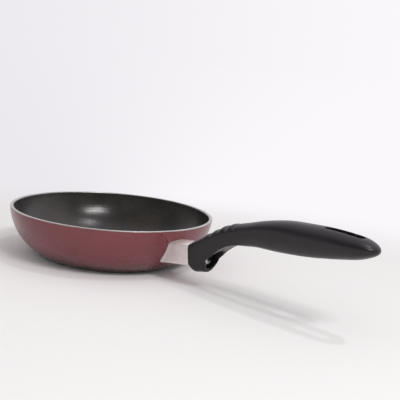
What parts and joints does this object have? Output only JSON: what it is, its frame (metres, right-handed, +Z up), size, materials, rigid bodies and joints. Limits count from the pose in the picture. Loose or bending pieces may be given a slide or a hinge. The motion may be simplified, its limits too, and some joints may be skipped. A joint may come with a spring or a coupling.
{
  "type": "omelette pan",
  "caption": "Small omelette pan with a maroon outside, a dark non-stick inside, a bright bare rim and a curved dark plastic handle on a metal sleeve",
  "frame": {"origin": "On the floor under the middle of the bowl, in the plane of the base's rest face", "axes": "+X from the bowl's centre out along the handle, +Z up, +Y across the handle so that the frame is right-handed; the pan is the same either side of the XZ plane"},
  "size_m": [0.3715, 0.18, 0.0759],
  "materials": {
    "bare_aluminium": "turned rim and base, satin",
    "maroon_enamel": "smooth glossy enamel, greyed maroon",
    "nonstick": "satin dark grey non-stick coating",
    "lug_metal": "plain cast, hidden in the sleeve",
    "guard_metal": "brushed, slightly warm",
    "handle_plastic": "moulded, fine satin",
    "screw_steel": "bright zinc-plated steel"
  },
  "bodies": {
    "root": {"pan_body": "bare_aluminium", "outer_enamel": "maroon_enamel", "nonstick_lining": "nonstick", "weld_lug": "lug_metal", "flame_guard": "guard_metal", "handle": "handle_plastic", "handle_screw": "screw_steel", "spring_washer": "screw_steel", "plain_washer": "screw_steel"}
  },
  "joints": []
}
